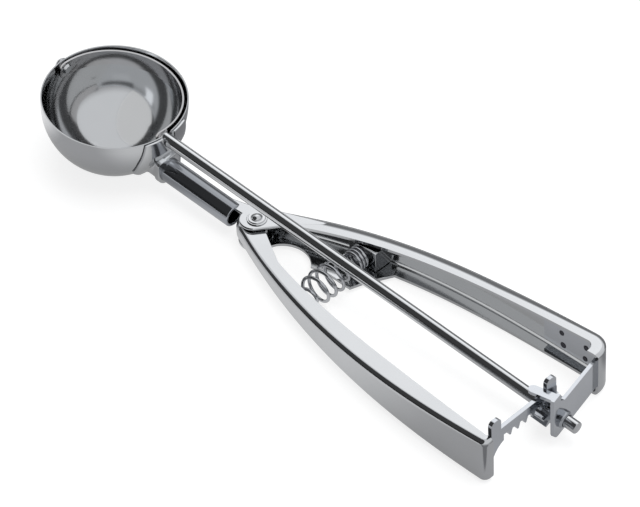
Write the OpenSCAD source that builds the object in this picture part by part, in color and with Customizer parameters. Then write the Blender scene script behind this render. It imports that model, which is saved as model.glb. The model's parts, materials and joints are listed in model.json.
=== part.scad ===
// Lever ice cream scoop: a round bowl on a two-handled squeeze lever. Closing the handles drives a
// rack over a pinion, and the pinion's rod turns a thin scraper band round the inside of the bowl.
// +Z is up and +X runs from the bowl to the ends of the handles. The scoop lies on a table at Z 0,
// with the origin at the middle of its footprint.

/* [Bowl] */
// Outer diameter of the bowl
bowl_d = 50; // [44:0.5:60]
// Sheet thickness of the bowl
bowl_t = 0.9; // [0.7:0.1:1.2]
// Height of the rim above the middle of the rod
rim_h = 2.7; // [2.5:0.1:5]
// Downward slope of the rod towards the handles, in degrees
rod_slope = 4.7; // [4.2:0.1:5.2]

/* [Scraper] */
// Thickness of the scraper band
scraper_t = 0.6; // [0.4:0.1:0.8]
// Width of the scraper band
scraper_w = 6.4; // [5.5:0.1:8]
// Running gap between the scraper band and the bowl
scraper_gap = 0.6; // [0.4:0.1:1]
// How far the resting scraper lies below the level of the rod, in degrees
scraper_rest = 4; // [2:0.5:8]
// Diameter of the pivot rivet at the front of the bowl
pivot_d = 2.4; // [2:0.1:3]

/* [Rod and gear] */
// Diameter of the rod
rod_d = 4.3; // [3.8:0.1:4.6]
// Length of the rod that sticks out behind its bearing
rod_stub = 4.6; // [3:0.1:8]
// Running clearance round the rod, on the radius
rod_play = 0.06; // [0.04:0.01:0.1]
// Size of the gear teeth: pitch diameter over tooth count
tooth_module = 1.16; // [1.1:0.01:1.2]
// Number of teeth on the pinion
pinion_teeth = 8; // [8:1:8]
// Length of the pinion
pinion_l = 6.5; // [5:0.1:8]
// Number of teeth on the rack
rack_teeth = 7; // [7:1:8]
// Thickness of the rack plate
rack_t = 1.5; // [1.2:0.1:1.8]
// Height of the rack plate above its tooth roots
rack_back = 3.5; // [3:0.1:4]
// Height of the stop tabs above the back of the rack
tab_h = 5; // [3.5:0.1:6]
// Width of each stop tab
tab_w = 4.6; // [4:0.1:5]
// Angle that the moving handle closes through, in degrees
squeeze = 7.6; // [7:0.1:7.6]

/* [Shank and saddle] */
// Outer diameter of the tubular shank
shank_d = 8.5; // [7.5:0.1:9]
// Distance of the shank's middle below the rod's middle
shank_drop = 13.4; // [13:0.1:14]
// Where the open end of the shank lies along the rod
shank_end = 57; // [54:0.5:58]
// Outer width of the saddle's neck
neck_w = 10; // [9.6:0.1:10.6]
// Where the neck's rear lip lies along the rod
neck_end = 26.3; // [25.5:0.1:30]
// Sheet thickness of the saddle
saddle_t = 1; // [0.8:0.1:1.2]

/* [Handles] */
// Sheet thickness of both handles
sheet_t = 1.1; // [0.9:0.1:1.2]
// Distance from the bowl's middle to the rear ends of the handles
rear_x = 198.2; // [185:0.1:215]
// Distance from the bowl's middle to the hinge
hinge_x = 65; // [64:0.1:67]
// Sideways place of the hinge, towards the fixed handle
hinge_y = 1; // [0.5:0.1:1.5]
// Height of the tops of both handles at the rear
rear_top = 18; // [17.6:0.1:20]
// Height of the fixed handle's top plate at the hinge
hinge_top = 10.5; // [10.3:0.1:11]
// Height of the fixed handle's underside at the hinge
hinge_bottom = 1.4; // [1.2:0.1:1.6]
// Radius of the handles' rear corners, seen from the side
end_r = 2.6; // [1.5:0.1:4]
// Radius of the rounded front end of the moving handle
nose_r = 7; // [6.8:0.1:7.4]

/* [Fixed handle] */
// Reach of the fixed handle's outer face at the hinge
fixed_front_y = 8.9; // [8.8:0.1:10]
// Reach of the fixed handle's outer face at its rear end
fixed_rear_y = 30; // [28:0.1:34]
// How early the fixed handle bulges out to its full reach
fixed_fullness = 3.2; // [2.8:0.1:4]
// Radius of the fixed handle's rear corner, seen from above
fixed_corner_r = 8; // [6:0.1:8.2]
// Width of the fixed handle's flanges near the hinge
fixed_flange_front = 7; // [6:0.1:7.5]
// Width of the fixed handle's flanges at the rear
fixed_flange_rear = 4.6; // [4:0.1:6]
// How much wider the fixed handle's flanges are half way
fixed_flange_swell = 0.3; // [0:0.1:1]
// Distance that the fixed handle's end lip reaches inwards
fixed_lip = 8.8; // [8.4:0.1:10]

/* [Moving handle] */
// Reach of the moving handle's outer face at its rear end
moving_rear_y = 33; // [31:0.1:37]
// How early the moving handle bulges out to its full reach
moving_fullness = 2.3; // [1.9:0.05:2.6]
// Radius of the moving handle's rear corner, seen from above
moving_corner_r = 2.8; // [2.7:0.1:4]
// Width of the moving handle's flanges near the hinge
moving_flange_front = 4.6; // [4:0.1:5.4]
// Width of the moving handle's flanges at the rear
moving_flange_rear = 3.4; // [3:0.1:3.8]
// How much wider the moving handle's flanges are half way
moving_flange_swell = 3.6; // [2:0.1:4]
// Distance that the moving handle's end lip reaches inwards
moving_lip = 4; // [3.8:0.1:5]

/* [Hinge] */
// Diameter of the hinge rivet
hinge_d = 4.8; // [4:0.1:5.2]
// Diameter of the hinge rivet's head
hinge_head_d = 6; // [5.6:0.1:7]
// Diameter of the washer under the rivet's head
washer_d = 7; // [7:0.1:8]
// Gap between plates that turn past each other
plate_gap = 0.3; // [0.25:0.05:0.35]

/* [Pinion bracket] */
// Thickness of the bracket plate
bracket_t = 1.3; // [1.1:0.1:1.4]
// Gap between the closed rack and the bracket, beside the rod
bracket_gap = 1.9; // [1.8:0.1:2.4]
// Outer diameter of the bearing bush
bush_d = 6; // [5.6:0.1:6.4]
// Width of the tongue over the rack
tongue_w = 3.4; // [3:0.1:4]
// Length of the tongue in front of the bracket
tongue_l = 7.5; // [6:0.1:9]

/* [Spring] */
// Where the spring lies along the table
spring_x = 100.2; // [97:0.1:103]
// Wire diameter of the spring
wire_d = 1.1; // [0.9:0.1:1.2]
// Mean radius of the spring where it swells
swell_r = 5.3; // [4.5:0.1:5.4]
// Mean radius of the spring at the fixed handle
fixed_coil_r = 3.7; // [3.2:0.1:3.8]
// Mean radius of the spring at the moving handle
moving_coil_r = 2.4; // [2:0.1:2.5]
// Number of open coils
open_coils = 7; // [6:1:8]

/* [Hidden] */
$fn = 64;
eps = 0.01;
far = 400;

// Bowl, scraper and rod, measured from the middle of the bowl along the rod
bowl_r = bowl_d / 2;
bowl_in = bowl_r - bowl_t;
band_out = bowl_in - scraper_gap;
band_in = band_out - scraper_t;
rod_r = rod_d / 2;
rod_hole_r = rod_r + rod_play;
pivot_r = pivot_d / 2;
shank_r = shank_d / 2;
shank_in = shank_r - sheet_t;
rod_cut_r = rod_r + 0.6;
rod_chamfer = 0.6;
bush_flange_t = 0.8;

// Heights of the nested hinge plates above the table, and where the handles' tops start to rise
moving_top = hinge_top - sheet_t - plate_gap;
moving_bottom = hinge_bottom + sheet_t + plate_gap;
bend_x = hinge_x + 9;

// Hinge pieces: rivet head and foot, washer, and the wall of the sleeve round the rivet
head_h = 1.4;
foot_h = 0.9;
washer_t = 0.5;
sleeve_t = 1.2;

// Rounded front end of the moving handle: its wall's first and last direction, and the slope behind it
nose_from = 195;
nose_to = 113;
nose_slope = 0.42;
ear_r = nose_r - 1.8;

// Rack and pinion
pitch = PI * tooth_module;
pitch_r = tooth_module * pinion_teeth / 2;
pinion_out = pitch_r + 0.83 * tooth_module;
pinion_root = pitch_r - 1.15 * tooth_module;
rack_tip = 0.82 * tooth_module;
rack_root = 1.08 * tooth_module;
lip_in = rear_x - sheet_t;
rack_x0 = lip_in - rack_t;
rack_mid = lip_in - rack_t / 2;
rack_arm = rack_mid - hinge_x;
mesh_z = rod_z(rack_mid) + pitch_r;
rack_top = mesh_z + rack_root + rack_back;
rack_low = hinge_bottom + 3.6;
first_tooth = -5.44 * pitch;

// Bracket plate: it leans so that it lies along the closed rack and meets the lip of the fixed handle
closed_reach = (lip_in - hinge_x) / cos(squeeze) + hinge_y * tan(squeeze);
bracket_x = hinge_x + closed_reach + bracket_gap;
bracket_run = fixed_rear_y - fixed_lip;
bracket_lean = atan((bracket_x + bracket_t - lip_in) / bracket_run);
bracket_back = bracket_x + bracket_t / cos(bracket_lean);
bracket_top = rear_top - end_r;
bracket_low = 2.8;
bracket_side = 5.9;
tongue_z = rack_top + 0.5;
tongue_y = -3.6;
tongue_lean = 11;
tongue_right = tongue_y + tongue_w / 2 - (bracket_back - rack_mid) * tan(tongue_lean);
tongue_left = tongue_y - tongue_w / 2
              - (bracket_back - hinge_x - closed_reach + rack_t) * tan(tongue_lean);
tab_gap = 0.35;
right_tab = tongue_right + tab_gap;
rack_end = right_tab + tab_w + 0.3;
left_tab = (tongue_left - tab_gap - 0.05 - hinge_y - rack_arm * sin(squeeze)) / cos(squeeze) + hinge_y;
bush_r = bush_d / 2;
bush_flange_r = bush_r + 0.8;
bush_x = bracket_back / cos(rod_slope) + bush_flange_r * (tan(bracket_lean) + tan(rod_slope));
pinion_x1 = bracket_x / cos(rod_slope) - pinion_out * (tan(bracket_lean) + tan(rod_slope)) - 0.2;
rod_front = band_in - 0.8;
rod_rear = bush_x + bush_flange_t + rod_stub;

// Handle outlines: steps along each handle and the plates that lie inside them
steps = 24;
leg_steps = 4;
wire_r = wire_d / 2;

// Each handle: reach at the hinge and at the rear, fullness, corner, flange widths, lip and swell
moving_front_y = nose_r * sin(nose_to) - hinge_y - nose_slope * nose_r * cos(nose_to);
FIXED = [fixed_front_y, fixed_rear_y, fixed_fullness, fixed_corner_r,
         fixed_flange_front, fixed_flange_rear, fixed_lip, fixed_flange_swell];
MOVING = [moving_front_y, moving_rear_y, moving_fullness, moving_corner_r,
          moving_flange_front, moving_flange_rear, moving_lip, moving_flange_swell];

// Spring seats: each a web across the end of the spring, on cheeks that stand on the handle's wall
seat_t = 1;
fixed_web_y = 14.6;
moving_web_y = 17.6;
fixed_seat_w = 2 * (fixed_coil_r + wire_d + 1.2);
moving_seat_w = 2 * (moving_coil_r + wire_d + 1);
fixed_seat_low = hinge_bottom + sheet_t;
fixed_seat_high = hinge_top - sheet_t + 1;
moving_seat_low = hinge_bottom + 2 * sheet_t + plate_gap + 0.1;
moving_seat_high = moving_top - sheet_t + 1;
fixed_spring_z = 6.9;
moving_spring_z = 6.7;

// Middle of the whole scoop along and across the table
pivot_head = 2.2;
pivot_head_r = 2.6;
pivot_dome_r = 2.9;
front_x = -(bowl_r + pivot_head) * cos(rod_slope);
back_x = rod_rear * cos(rod_slope);
middle_x = (front_x + back_x) / 2;
middle_y = (fixed_rear_y - moving_rear_y) / 2;

// Height of the rod's middle above the table at x
function rod_z(x) = bowl_r - x * tan(rod_slope);

// Share of the way from the hinge to the rear end
function along(x) = (x - hinge_x) / (rear_x - hinge_x);

// Sideways reach of handle h's outer face at x, and its slope there
function reach(x, h) = h[0] + (h[1] - h[0]) * (1 - pow(max(0, 1 - along(x)), h[2]));
function reach_slope(x, h) =
    (h[1] - h[0]) * h[2] / (rear_x - hinge_x) * pow(max(0, 1 - along(x)), h[2] - 1);

// A point of a handle's side, moved inwards by d
function side_point(x, d, h) =
    let (s = reach_slope(x, h), n = sqrt(1 + s * s)) [x + d * s / n, reach(x, h) - d / n];

function corner_x(h) = rear_x - h[3];
function step_x(i, h) = hinge_x + (corner_x(h) - hinge_x) * i / steps;

// A handle's side from step a on, its rear corner and the end of its lip, all moved inwards by d
function side_line(a, d, h) = [for (i = [a:steps]) side_point(step_x(i, h), d, h)];
function corner_line(d, h, last = 6) =
    let (y = reach(corner_x(h), h) - h[3], r = max(0.1, h[3] - d))
    [for (k = [1:last]) [corner_x(h) + r * sin(15 * k), y + r * cos(15 * k)]];
function lip_y(h) = reach(corner_x(h), h) - h[6];
function outline(a, d, h) = concat(side_line(a, d, h), corner_line(d, h), [[rear_x - d, lip_y(h)]]);

// Inner edge of a flange, and a line well inside it that opens the channel
function flange_w(x, h) =
    let (u = max(0, along(x))) h[4] + (h[5] - h[4]) * u + h[7] * sin(180 * pow(u, 1.3));
function flange_edge(a, h) =
    [for (i = [a:steps]) side_point(step_x(i, h), flange_w(step_x(i, h), h), h)];
function open_edge(a, h) =
    [for (i = [a:steps]) side_point(step_x(i, h), h[4] + h[5] + h[7] + 2, h)];

// Underside of a handle's top plate at x, for a plate whose top is at height z at the hinge
function under_top(x, z) =
    z + (rear_top - z) * (x - bend_x) / (rear_x - end_r - bend_x) - sheet_t;
leg_gap = 0.2;
leg_top = under_top(step_x(steps - leg_steps, FIXED), hinge_top) - leg_gap;
rack_leg_top = under_top(step_x(steps - leg_steps, MOVING), moving_top) - leg_gap;

function backwards(list) = [for (i = [len(list) - 1:-1:0]) list[i]];

// Rounded front end of the moving handle, in mirrored coordinates
function nose_line(d) =
    [for (k = [0:6]) let (a = nose_from + (nose_to - nose_from) * k / 6)
     [hinge_x + (nose_r - d) * cos(a), -hinge_y + (nose_r - d) * sin(a)]];

// Frames: the whole part, and pieces that follow the rod
module place() translate([-middle_x, -middle_y, 0]) children();
module on_rod() place() translate([0, 0, bowl_r]) rotate([0, rod_slope, 0]) children();
module about_rod(angle) rotate([angle, 0, 0]) children();

// A cylinder along X from x0 to x1
module bar(x0, x1, r) translate([x0, 0, 0]) rotate([0, 90, 0]) cylinder(h = x1 - x0, r = r);

// A side view outline in X and Z, spread over all Y
module side_view(points)
    rotate([90, 0, 0]) linear_extrude(height = far, center = true) polygon(points);

// A rear view outline in Y and Z, spread from x0 to x1
module rear_view(points, x0, x1)
    translate([x0, 0, 0]) rotate([90, 0, 90]) linear_extrude(height = x1 - x0) polygon(points);

// The bowl's outer form at radius r: a ball below the rod and a drum up to height h
module bowl_form(r, h) {
    intersection() {
        sphere(r = r, $fn = 96);
        translate([-far / 2, -far / 2, -far]) cube([far, far, far]);
    }
    cylinder(h = h, r = r, $fn = 96);
}

module rod_notch(r)
    union() {
        bar(0, far, r);
        translate([0, -r, 0]) cube([far, 2 * r, far]);
    }

module bowl()
    color("gainsboro") on_rod()
    difference() {
        bowl_form(bowl_r, rim_h);
        bowl_form(bowl_in, far);
        rod_notch(rod_hole_r);
        bar(-far, 0, pivot_r);
    }

// Section of the saddle's neck: square shoulders over a round underside
module neck_section(w) {
    corner = 0.22 * w;
    circle(d = w);
    translate([-w / 2, 0]) square([w, w / 2 - corner]);
    translate([corner - w / 2, 0]) square([w - 2 * corner, w / 2]);
    for (y = [corner - w / 2, w / 2 - corner]) translate([y, w / 2 - corner]) circle(r = corner);
}

module neck_bar(x0, x1, w)
    translate([x0, 0, -shank_drop]) rotate([90, 0, 90]) linear_extrude(height = x1 - x0)
    neck_section(w);

module saddle() {
    lip_t = 0.9;
    lip_w = neck_w + 0.7;
    wing_y = neck_w + 0.8;
    wings = [[-wing_y + 1.6, rim_h - 0.3], [-wing_y, -0.28 * bowl_r], [-wing_y, -0.5 * bowl_r],
             [-neck_w / 2, -shank_drop - neck_w / 2], [neck_w / 2, -shank_drop - neck_w / 2],
             [wing_y, -0.5 * bowl_r], [wing_y, -0.28 * bowl_r], [wing_y - 1, rim_h - 0.3]];
    color("silver") on_rod()
    difference() {
        union() {
            intersection() {
                bowl_form(bowl_r + saddle_t, rim_h);
                rear_view(wings, 0, far);
            }
            neck_bar(bowl_r * 0.6, neck_end, neck_w);
            neck_bar(neck_end - lip_t, neck_end, lip_w);
        }
        bowl_form(bowl_r, far);
        rod_notch(rod_cut_r);
        translate([0, 0, -shank_drop]) bar(0, far, shank_r);
    }
}

// A handle seen from the side, from its bend to its rounded rear corners, moved inwards by d
function end_arc(z, from, d) =
    [for (k = [0:4]) let (a = from + 22.5 * k, r = end_r - d)
     [rear_x - end_r + r * cos(a), z + r * sin(a)]];
function side_shape(top, bottom, d) =
    concat([[hinge_x - 20, bottom + d], [bend_x, bottom + d]],
           end_arc(end_r, -90, d), end_arc(rear_top - end_r, 0, d),
           [[bend_x, top - d], [hinge_x - 20, top - d]]);

// An outline from above, carried up through all heights
module column() linear_extrude(height = far) children();

// A handle's folded sheet: the first child is its form from above, the second the hollow in it
module channel(top, bottom)
    difference() {
        intersection() {
            children(0);
            side_view(side_shape(top, bottom, 0));
        }
        intersection() {
            children(1);
            side_view(side_shape(top, bottom, sheet_t));
        }
    }

// A plate with its children's outline, from height z at the hinge to z_rear at the rear end
module plate(z, z_rear)
    intersection() {
        children();
        side_view([[hinge_x - 20, z], [bend_x, z], [rear_x, z_rear], [rear_x, z_rear + sheet_t],
                   [bend_x, z + sheet_t], [hinge_x - 20, z + sheet_t]]);
    }

module handle_plan(a, h)
    column() polygon(concat(outline(a, 0, h), backwards(flange_edge(a, h))));

module handle_hollow(a, h)
    column() polygon(concat(outline(a, sheet_t, h), [[rear_x - sheet_t, 0]], backwards(open_edge(a, h))));

// Top plate of the fixed handle: the flat end of the shank, which carries the hinge
module fixed_top() {
    column() translate([hinge_x - 0.8, hinge_y - 0.3]) circle(r = hinge_head_d - 0.6);
    column() polygon([[shank_end - 6, 3], [shank_end - 6, -0.4], [hinge_x - 5.5, -0.4],
                      [hinge_x + 3.9, hinge_y - 3.4], [hinge_x + 10.5, hinge_y + 5.6],
                      [hinge_x + 19, hinge_y + 12], [hinge_x + 19, hinge_y + 14],
                      [hinge_x, fixed_front_y - 1]]);
}

// Bottom plate of the fixed handle: the lower hinge ear, an arch, and a shelf under the spring
module fixed_bottom() {
    arch_r = 9.8;
    column() translate([hinge_x, hinge_y]) circle(r = nose_r - 0.5);
    column() difference() {
        polygon([[hinge_x - 5, hinge_y - 2], [hinge_x + 8, hinge_y - 2.6], [spring_x - 12, 3.9],
                 [spring_x + 4.4, 3.6], [spring_x + 6.4, 8.6], [spring_x + 9, 14], [spring_x + 12, 20],
                 [spring_x, 20], [hinge_x + 15, 14], [hinge_x, fixed_front_y - 1]]);
        translate([hinge_x + 15, hinge_y - 4.3]) circle(r = arch_r);
    }
}

module fixed_handle()
    color("lightgray") {
        on_rod() translate([0, 0, -shank_drop]) difference() {
            bar(bowl_r - 0.6, shank_end, shank_r);
            bar(0, far, shank_in);
        }
        place() difference() {
            union() {
                channel(hinge_top, hinge_bottom) {
                    handle_plan(-2, FIXED);
                    handle_hollow(-2, FIXED);
                }
                plate(hinge_top - sheet_t, rear_top - sheet_t) fixed_top();
                plate(hinge_bottom, 0) fixed_bottom();
            }
            translate([0, 0, bowl_r]) rotate([0, rod_slope, 0]) translate([0, 0, -shank_drop])
                bar(0, shank_end, shank_in);
            translate([hinge_x, hinge_y, -eps]) cylinder(h = far, d = hinge_d);
        }
    }

// Form of the moving handle's front end, whose top and bottom plates turn on the hinge rivet
module moving_front() {
    column() polygon(concat(nose_line(0), [[hinge_x, moving_front_y], [hinge_x + 3, moving_front_y],
                                           [hinge_x, -hinge_y]]));
    column() translate([hinge_x, -hinge_y]) circle(r = ear_r);
    column() polygon([[hinge_x - 3, 4.5], [hinge_x + 3.8, -4], [hinge_x + 7.6, 0.6], [hinge_x + 13, 7],
                      [hinge_x + 21, 12], [hinge_x + 20, 14], [hinge_x + 5, 8.4]]);
}

module moving_front_hollow() {
    column() polygon(concat(nose_line(sheet_t), [side_point(hinge_x, sheet_t, MOVING),
                                                 side_point(hinge_x + 3, sheet_t, MOVING),
                                                 [hinge_x, -hinge_y]]));
    column() translate([hinge_x, -hinge_y]) circle(r = nose_r - sheet_t);
    column() translate([hinge_x - 3.2, -20]) square([40, 23]);
}

module moving_handle()
    color("silver") place() difference() {
        mirror([0, 1, 0]) channel(moving_top, moving_bottom) {
            union() {
                handle_plan(0, MOVING);
                moving_front();
            }
            union() {
                handle_hollow(0, MOVING);
                moving_front_hollow();
            }
        }
        translate([hinge_x, hinge_y, -eps]) cylinder(h = far, r = hinge_d / 2 + rod_play);
    }

module on_hinge(z) place() translate([hinge_x, hinge_y, z]) children();

module hinge_rivet()
    color("whitesmoke") {
        shaft_h = hinge_top - hinge_bottom + washer_t + foot_h + 0.2;
        on_hinge(hinge_bottom - foot_h) cylinder(h = shaft_h, d = hinge_d);
        on_hinge(hinge_bottom - foot_h) cylinder(h = foot_h, d1 = hinge_head_d, d2 = hinge_head_d + 0.6);
        on_hinge(hinge_top + washer_t) intersection() {
            dome_r = (head_h * head_h + hinge_head_d * hinge_head_d / 4) / (2 * head_h);
            translate([0, 0, head_h - dome_r]) sphere(r = dome_r);
            cylinder(h = head_h, d = hinge_head_d);
        }
    }

module hinge_washer()
    color("gainsboro") on_hinge(hinge_top) difference() {
        cylinder(h = washer_t, d = washer_d);
        translate([0, 0, -eps]) cylinder(h = 1, d = hinge_d);
    }

module hinge_sleeve()
    color("silver") on_hinge(moving_bottom + sheet_t + plate_gap / 2) difference() {
        sleeve_h = moving_top - moving_bottom - 2 * sheet_t - plate_gap;
        cylinder(h = sleeve_h, r = hinge_d / 2 + sleeve_t);
        translate([0, 0, -eps]) cylinder(h = sleeve_h + 1, d = hinge_d);
    }

module scraper_pivot()
    color("whitesmoke") on_rod() {
        bar(-bowl_r - 0.2, -band_in + 0.2, pivot_r);
        difference() {
            intersection() {
                bar(-bowl_r - pivot_head, 0.2 - bowl_r, pivot_head_r);
                translate([-bowl_r - pivot_head + pivot_dome_r, 0, 0]) sphere(r = pivot_dome_r);
            }
            bowl_form(bowl_r, far);
        }
        translate([-band_in + 0.15, 0, 0]) rotate([0, 90, 0]) cylinder(h = 0.8, r1 = 1.9, r2 = 1.4);
    }

module pivot_spacer()
    color("silver") on_rod() difference() {
        intersection() {
            bar(-bowl_r, -band_out + 0.15, 2);
            sphere(r = bowl_in, $fn = 96);
        }
        sphere(r = band_out + 0.05, $fn = 96);
        bar(-far, 0, pivot_r);
    }

// Everything inside handle h's wall, seen from above
module inside(h) polygon(concat([[hinge_x, -far]], outline(0, sheet_t, h), [[lip_in, -far]]));

// A leg of thickness t against the inside of handle h's wall, from the rear corner forwards
module leg(t, h)
    polygon(concat(side_line(steps - leg_steps, sheet_t, h), corner_line(sheet_t, h, 3),
                   backwards(corner_line(sheet_t + t, h, 3)),
                   backwards(side_line(steps - leg_steps, sheet_t + t, h))));

// Points of an arc about [y, z] with radius r, from angle a0 to a1
function arc(y, z, r, a0, a1) =
    [for (k = [0:6]) let (a = a0 + (a1 - a0) * k / 6) [y + r * cos(a), z + r * sin(a)]];

module bracket_plate()
    translate([bracket_x, 0, 0]) rotate([0, 0, bracket_lean]) {
        corner = 3;
        step_y = 1.4;
        plate_w = fixed_rear_y / cos(bracket_lean);
        rear_view(concat([[-bracket_side, tongue_z + bracket_t]],
                         arc(corner - bracket_side, bracket_low + corner, corner, 180, 270),
                         [[plate_w, bracket_low + 1], [plate_w, bracket_top], [1, bracket_top],
                          [-step_y, bracket_top + 1.6], [-step_y - 0.2, tongue_z + bracket_t]]),
                  0, bracket_t);
    }

// Where the bracket plate may lie: inside the fixed handle, and free beyond its lip
module bracket_space() {
    inside(FIXED);
    translate([hinge_x, -far]) square([far, far + lip_y(FIXED)]);
}

module pinion_bracket()
    color("lightsteelblue") difference() {
        place() {
            intersection() {
                union() {
                    bracket_plate();
                    translate([0, 0, bracket_low + 1])
                        linear_extrude(height = leg_top - bracket_low - 1) leg(bracket_t, FIXED);
                }
                column() bracket_space();
            }
            translate([bracket_back, tongue_y, tongue_z]) rotate([0, 0, 180 + tongue_lean])
                linear_extrude(height = bracket_t)
                    polygon(concat([[-0.4, tongue_w / 2], [-0.4, -tongue_w / 2]],
                                   arc(tongue_l + 0.6, 0, tongue_w / 2, -90, 90)));
        }
        on_rod() bar(bracket_x - 10, far, bush_r);
    }

module rod_bush()
    color("dimgray") on_rod() difference() {
        union() {
            bar(bracket_x / cos(rod_slope), bush_x + bush_flange_t, bush_r);
            bar(bush_x, bush_x + bush_flange_t, bush_flange_r);
        }
        bar(0, far, rod_hole_r);
    }

// Folded spring seat inside handle h: a web of width w at web_y, on two cheeks that reach the wall
module spring_seat(h, w, web_y, low, high)
    translate([0, 0, low]) linear_extrude(height = high - low)
    intersection() {
        union() {
            translate([spring_x - w / 2, web_y]) square([w, seat_t]);
            for (side = [-1, 1])
                translate([spring_x + side * (w - seat_t) / 2 - seat_t / 2, web_y]) square([seat_t, far]);
        }
        inside(h);
    }

module fixed_spring_seat()
    color("darkgray") place()
    spring_seat(FIXED, fixed_seat_w, fixed_web_y, fixed_seat_low, fixed_seat_high);

module moving_spring_seat()
    color("darkgray") place() mirror([0, 1, 0])
    spring_seat(MOVING, moving_seat_w, moving_web_y, moving_seat_low, moving_seat_high);

// One rack tooth in Y and Z, pointing down, with its middle at y
function rack_tooth(y) =
    let (half = 0.535 * tooth_module, low = 0.364 * rack_tip, high = 0.364 * rack_root)
    [[y - half - high, mesh_z + rack_root], [y - half + low, mesh_z - rack_tip],
     [y + half - low, mesh_z - rack_tip], [y + half + high, mesh_z + rack_root]];

// A stop tab with rounded top corners, standing on the back of the rack with its left edge at y
function stop_tab(y) =
    let (r = 1.7, z = rack_top + tab_h - r)
    concat([[y + tab_w, rack_top]], arc(y + tab_w - r, z, r, 0, 90), arc(y + r, z, r, 90, 180),
           [[y, rack_top]]);

// The rack seen from behind, in Y and Z: teeth, back, stop tabs, and a tail that curves down to the handle
module rack_profile(x0, x1) {
    root_z = mesh_z + rack_root;
    tail_y = first_tooth - pitch / 2 - 1.3;
    tail_r = 0.86 * (root_z - rack_low);
    tail_in = 2.6;
    tail_drop = 0.6;
    tail_a = acos(-tail_in / tail_r);
    neck_y = left_tab - tab_w;
    rear_view(concat([for (i = [0:rack_teeth - 1]) each rack_tooth(first_tooth + i * pitch)],
                     [[rack_end, root_z], [rack_end, rack_top]], stop_tab(right_tab),
                     stop_tab(left_tab - tab_w),
                     [[neck_y, rear_top - end_r - 0.1], [-moving_rear_y, rear_top - end_r - 0.1],
                      [-moving_rear_y, rack_low]],
                     arc(tail_y + tail_in, rack_low - tail_drop, tail_r,
                         180 - asin(tail_drop / tail_r), tail_a),
                     [[tail_y, root_z]]), x0, x1);
}

module rack()
    color("lightsteelblue") place() intersection() {
        union() {
            rack_profile(rack_x0, lip_in);
            mirror([0, 1, 0]) translate([0, 0, rack_low])
                linear_extrude(height = rack_leg_top - rack_low) leg(rack_t, MOVING);
        }
        mirror([0, 1, 0]) column() inside(MOVING);
    }

module rod()
    color("whitesmoke") on_rod() {
        bar(rod_front, rod_rear - rod_chamfer, rod_r);
        translate([rod_rear - rod_chamfer, 0, 0]) rotate([0, 90, 0])
            cylinder(h = rod_chamfer, r1 = rod_r, r2 = rod_r - rod_chamfer);
    }

// One pinion tooth as four corners, turned to angle a
function pinion_tooth(a) =
    let (foot = 0.82 * tooth_module, tip = 0.3 * tooth_module)
    [for (p = [[foot, pinion_root], [tip, pinion_out], [-tip, pinion_out], [-foot, pinion_root]])
     [p[0] * cos(a) - p[1] * sin(a), p[0] * sin(a) + p[1] * cos(a)]];

module pinion() {
    // A gap faces the rack tooth nearest the rod
    near = first_tooth + round(-first_tooth / pitch) * pitch;
    gap_angle = near / pitch_r * 180 / PI;
    color("slategray") on_rod() about_rod(-gap_angle) difference() {
        translate([pinion_x1 - pinion_l, 0, 0]) rotate([90, 0, 90]) linear_extrude(height = pinion_l)
            polygon([for (i = [0:pinion_teeth - 1]) each pinion_tooth((i + 0.5) * 360 / pinion_teeth)]);
        bar(0, far, rod_r);
    }
}

module scraper()
    color("whitesmoke") on_rod() about_rod(-scraper_rest) difference() {
        intersection() {
            sphere(r = band_out, $fn = 96);
            union() {
                translate([-far / 2, 0, -scraper_w / 2]) cube([far, far, scraper_w]);
                bar(-far / 2, far / 2, scraper_w / 2);
            }
        }
        sphere(r = band_in, $fn = 96);
        bar(0, far, rod_r);
        bar(-far, 0, pivot_r + rod_play);
    }

// Spring path: closed coils at both ends, open coils between them, and a swelling in the middle
moving_turns = 1;
fixed_turns = 3;
turns = moving_turns + open_coils + fixed_turns;
closed_pitch = wire_d * 1.12;
spring_y0 = -moving_web_y + wire_r + 0.05;
spring_l = fixed_web_y - wire_r - 0.05 - spring_y0;
open_pitch = (spring_l - (moving_turns + fixed_turns) * closed_pitch) / open_coils;
swell_y = -5.5;
swell_w = 6.5;
ring_count = 13 * turns;
function coil_y(turn) =
    spring_y0 + (turn < moving_turns ? turn * closed_pitch
    : turn > turns - fixed_turns ? spring_l - (turns - turn) * closed_pitch
    : moving_turns * closed_pitch + (turn - moving_turns) * open_pitch);
function coil_share(y) = (y - spring_y0) / spring_l;
function coil_r(y) =
    let (plain = moving_coil_r + (fixed_coil_r - moving_coil_r) * coil_share(y))
    plain + (swell_r - plain) * exp(-pow((y - swell_y) / swell_w, 4));
function coil_z(y) = moving_spring_z + (fixed_spring_z - moving_spring_z) * coil_share(y);
function spring_ring(turn) =
    [for (k = [0:7]) let (a = 100 - 360 * turn, y = coil_y(turn), r = coil_r(y) + wire_r * cos(45 * k))
     [spring_x + r * cos(a), y + wire_r * sin(45 * k), coil_z(y) + r * sin(a)]];

module spring() {
    points = [for (i = [0:ring_count]) each spring_ring(turns * i / ring_count)];
    sides = [for (i = [0:ring_count - 1], k = [0:7])
             [8 * i + k, 8 * i + 8 + k, 8 * i + 8 + (k + 1) % 8, 8 * i + (k + 1) % 8]];
    ends = [[0, 1, 2, 3, 4, 5, 6, 7], [for (k = [7:-1:0]) 8 * ring_count + k]];
    color("gainsboro") place() polyhedron(points = points, faces = concat(sides, ends), convexity = 12);
}

bowl();
saddle();
fixed_handle();
hinge_rivet();
hinge_washer();
hinge_sleeve();
scraper_pivot();
pivot_spacer();
pinion_bracket();
rod_bush();
fixed_spring_seat();
moving_handle();
rack();
moving_spring_seat();
rod();
pinion();
scraper();
spring();
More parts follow.
